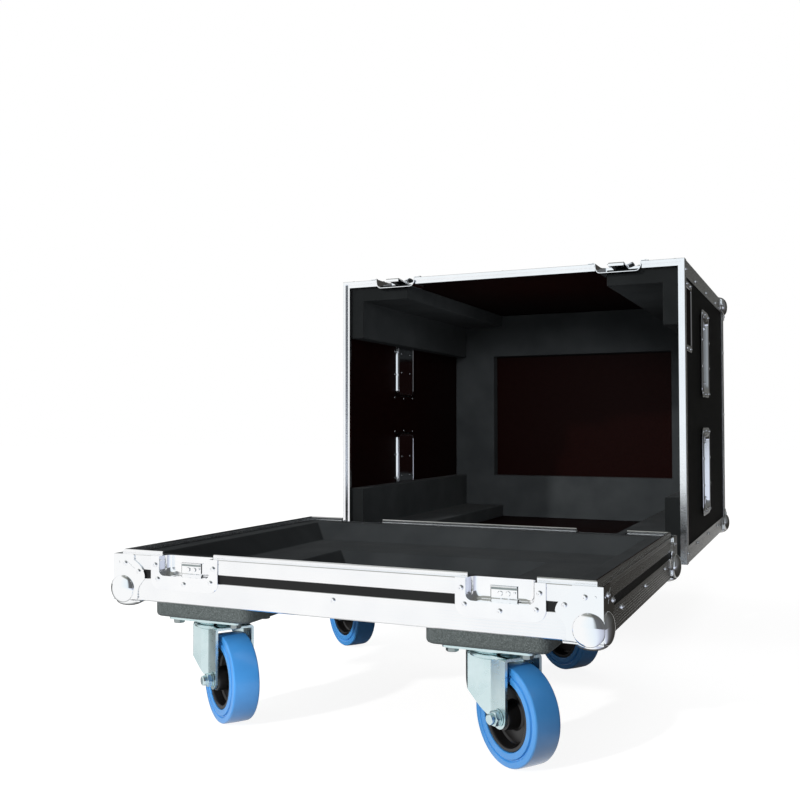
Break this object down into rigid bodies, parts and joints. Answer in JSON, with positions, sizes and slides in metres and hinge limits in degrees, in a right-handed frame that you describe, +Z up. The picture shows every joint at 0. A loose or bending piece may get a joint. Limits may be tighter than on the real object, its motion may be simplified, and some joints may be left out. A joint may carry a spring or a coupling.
{
  "type": "speaker flight case",
  "caption": "Wheeled flight case for a loudspeaker: a foam-lined tray on blue-tyred swivel castors and a deep foam-lined lift-off lid, shown open.",
  "frame": {"origin": "middle of the whole open case's bounding box, on the floor under the wheels", "axes": "+X to the right seen from the front, +Y back from the tray towards the lid, +Z up"},
  "size_m": [0.593, 1.143, 0.596],
  "materials": {
    "black_laminate": "plywood with a black, finely grained laminate on both faces",
    "aluminium": "bright anodised extrusion",
    "chrome": "bright plated pressed steel",
    "zinc_plate": "bright zinc plate with a pale cyan cast",
    "charcoal_foam": "closed-cell foam, fine open texture",
    "textured_block": "dark grey-green, grained",
    "black_nylon": "moulded, satin",
    "blue_rubber": "blue elastic rubber, satin",
    "black_grip": "steel bail with a sleeve"
  },
  "bodies": {
    "tray": {"castor_plate_front_left": "zinc_plate", "castor_plate_front_right": "zinc_plate", "castor_plate_rear_left": "zinc_plate", "castor_plate_rear_right": "zinc_plate", "riser_front_left": "textured_block", "riser_front_right": "textured_block", "riser_rear_left": "textured_block", "riser_rear_right": "textured_block", "tray_corner_front_left": "chrome", "tray_corner_front_right": "chrome", "tray_corner_rear_left": "chrome", "tray_corner_rear_right": "chrome", "tray_edge": "aluminium", "tray_foam": "charcoal_foam", "tray_rim": "aluminium", "tray_shell": "black_laminate"},
    "lid": {"handle_dish_left_front": "chrome", "handle_dish_left_rear": "chrome", "handle_dish_right_front": "chrome", "handle_dish_right_rear": "chrome", "lid_corner_front_left": "chrome", "lid_corner_front_right": "chrome", "lid_corner_rear_left": "chrome", "lid_corner_rear_right": "chrome", "lid_edges": "aluminium", "lid_foam": "charcoal_foam", "lid_front_panel": "black_laminate", "lid_left_panel": "black_laminate", "lid_rear_panel": "black_laminate", "lid_right_panel": "black_laminate", "lid_rim": "aluminium", "lid_top_panel": "black_laminate"},
    "latch_hook_front_left": {"latch_hook_front_left": "chrome"},
    "latch_key_front_left": {"latch_key_front_left": "chrome"},
    "latch_hook_front_right": {"latch_hook_front_right": "chrome"},
    "latch_key_front_right": {"latch_key_front_right": "chrome"},
    "latch_hook_rear_left": {"latch_hook_rear_left": "chrome"},
    "latch_key_rear_left": {"latch_key_rear_left": "chrome"},
    "latch_hook_rear_right": {"latch_hook_rear_right": "chrome"},
    "latch_key_rear_right": {"latch_key_rear_right": "chrome"},
    "handle_grip_left_front": {"handle_grip_left_front": "black_grip"},
    "handle_grip_left_rear": {"handle_grip_left_rear": "black_grip"},
    "handle_grip_right_front": {"handle_grip_right_front": "black_grip"},
    "handle_grip_right_rear": {"handle_grip_right_rear": "black_grip"},
    "fork_front_left": {"castor_fork_front_left": "zinc_plate", "castor_axle_front_left": "zinc_plate"},
    "wheel_front_left": {"castor_core_front_left": "black_nylon", "castor_tyre_front_left": "blue_rubber"},
    "fork_front_right": {"castor_fork_front_right": "zinc_plate", "castor_axle_front_right": "zinc_plate"},
    "wheel_front_right": {"castor_core_front_right": "black_nylon", "castor_tyre_front_right": "blue_rubber"},
    "fork_rear_left": {"castor_fork_rear_left": "zinc_plate", "castor_axle_rear_left": "zinc_plate"},
    "wheel_rear_left": {"castor_core_rear_left": "black_nylon", "castor_tyre_rear_left": "blue_rubber"},
    "fork_rear_right": {"castor_fork_rear_right": "zinc_plate", "castor_axle_rear_right": "zinc_plate"},
    "wheel_rear_right": {"castor_core_rear_right": "black_nylon", "castor_tyre_rear_right": "blue_rubber"}
  },
  "joints": [
    {"name": "lid_swing", "type": "hinge", "parent": "tray", "child": "lid", "pos_m": [0, -0.0775, 0.102], "axis": [1, 0, 0], "range_deg": [0, 90]},
    {"name": "latch_hook_front_left", "type": "hinge", "parent": "lid", "child": "latch_hook_front_left", "pos_m": [-0.188, 0.0515, 0.58], "axis": [1, 0, 0], "range_deg": [0, 5]},
    {"name": "latch_key_front_left", "type": "hinge", "parent": "latch_hook_front_left", "child": "latch_key_front_left", "pos_m": [-0.188, 0.03368, 0.58286], "axis": [0, -0.0872, -0.9962], "range_deg": [0, 180]},
    {"name": "latch_hook_front_right", "type": "hinge", "parent": "lid", "child": "latch_hook_front_right", "pos_m": [0.188, 0.0515, 0.58], "axis": [1, 0, 0], "range_deg": [0, 5]},
    {"name": "latch_key_front_right", "type": "hinge", "parent": "latch_hook_front_right", "child": "latch_key_front_right", "pos_m": [0.188, 0.03368, 0.58286], "axis": [0, -0.0872, -0.9962], "range_deg": [0, 180]},
    {"name": "latch_hook_rear_left", "type": "hinge", "parent": "lid", "child": "latch_hook_rear_left", "pos_m": [-0.188, 0.0515, 0.138], "axis": [-1, 0, 0], "range_deg": [0, 5]},
    {"name": "latch_key_rear_left", "type": "hinge", "parent": "latch_hook_rear_left", "child": "latch_key_rear_left", "pos_m": [-0.188, 0.03368, 0.13514], "axis": [0, -0.0872, 0.9962], "range_deg": [0, 180]},
    {"name": "latch_hook_rear_right", "type": "hinge", "parent": "lid", "child": "latch_hook_rear_right", "pos_m": [0.188, 0.0515, 0.138], "axis": [-1, 0, 0], "range_deg": [0, 5]},
    {"name": "latch_key_rear_right", "type": "hinge", "parent": "latch_hook_rear_right", "child": "latch_key_rear_right", "pos_m": [0.188, 0.03368, 0.13514], "axis": [0, -0.0872, 0.9962], "range_deg": [0, 180]},
    {"name": "handle_left_front", "type": "hinge", "parent": "lid", "child": "handle_grip_left_front", "pos_m": [-0.28125, 0.273, 0.4585], "axis": [0, 0, -1], "range_deg": [0, 90], "stiffness_Nm_per_rad": 0.15},
    {"name": "handle_left_rear", "type": "hinge", "parent": "lid", "child": "handle_grip_left_rear", "pos_m": [-0.28125, 0.273, 0.2595], "axis": [0, 0, -1], "range_deg": [0, 90], "stiffness_Nm_per_rad": 0.15},
    {"name": "handle_right_front", "type": "hinge", "parent": "lid", "child": "handle_grip_right_front", "pos_m": [0.28125, 0.273, 0.4585], "axis": [0, 0, 1], "range_deg": [0, 90], "stiffness_Nm_per_rad": 0.15},
    {"name": "handle_right_rear", "type": "hinge", "parent": "lid", "child": "handle_grip_right_rear", "pos_m": [0.28125, 0.273, 0.2595], "axis": [0, 0, 1], "range_deg": [0, 90], "stiffness_Nm_per_rad": 0.15},
    {"name": "castor_swivel_front_left", "type": "hinge", "parent": "tray", "child": "fork_front_left", "pos_m": [-0.17, -0.5135, 0.117], "axis": [0, 0, 1], "continuous": true},
    {"name": "castor_spin_front_left", "type": "hinge", "parent": "fork_front_left", "child": "wheel_front_left", "pos_m": [-0.14542, -0.53071, 0.05], "axis": [0.5736, 0.8192, 0], "continuous": true},
    {"name": "castor_swivel_front_right", "type": "hinge", "parent": "tray", "child": "fork_front_right", "pos_m": [0.17, -0.5135, 0.117], "axis": [0, 0, 1], "continuous": true},
    {"name": "castor_spin_front_right", "type": "hinge", "parent": "fork_front_right", "child": "wheel_front_right", "pos_m": [0.19457, -0.53071, 0.05], "axis": [0.5736, 0.8192, 0], "continuous": true},
    {"name": "castor_swivel_rear_left", "type": "hinge", "parent": "tray", "child": "fork_rear_left", "pos_m": [-0.17, -0.1555, 0.117], "axis": [0, 0, 1], "continuous": true},
    {"name": "castor_spin_rear_left", "type": "hinge", "parent": "fork_rear_left", "child": "wheel_rear_left", "pos_m": [-0.19457, -0.13829, 0.05], "axis": [-0.5736, -0.8192, 0], "continuous": true},
    {"name": "castor_swivel_rear_right", "type": "hinge", "parent": "tray", "child": "fork_rear_right", "pos_m": [0.17, -0.1555, 0.117], "axis": [0, 0, 1], "continuous": true},
    {"name": "castor_spin_rear_right", "type": "hinge", "parent": "fork_rear_right", "child": "wheel_rear_right", "pos_m": [0.14542, -0.13829, 0.05], "axis": [-0.5736, -0.8192, 0], "continuous": true}
  ],
  "couplings": [
    {"joint": "latch_hook_front_left", "follows": "latch_key_front_left", "ratio": 0.027778},
    {"joint": "latch_hook_front_right", "follows": "latch_key_front_right", "ratio": 0.027778},
    {"joint": "latch_hook_rear_left", "follows": "latch_key_rear_left", "ratio": 0.027778},
    {"joint": "latch_hook_rear_right", "follows": "latch_key_rear_right", "ratio": 0.027778}
  ]
}
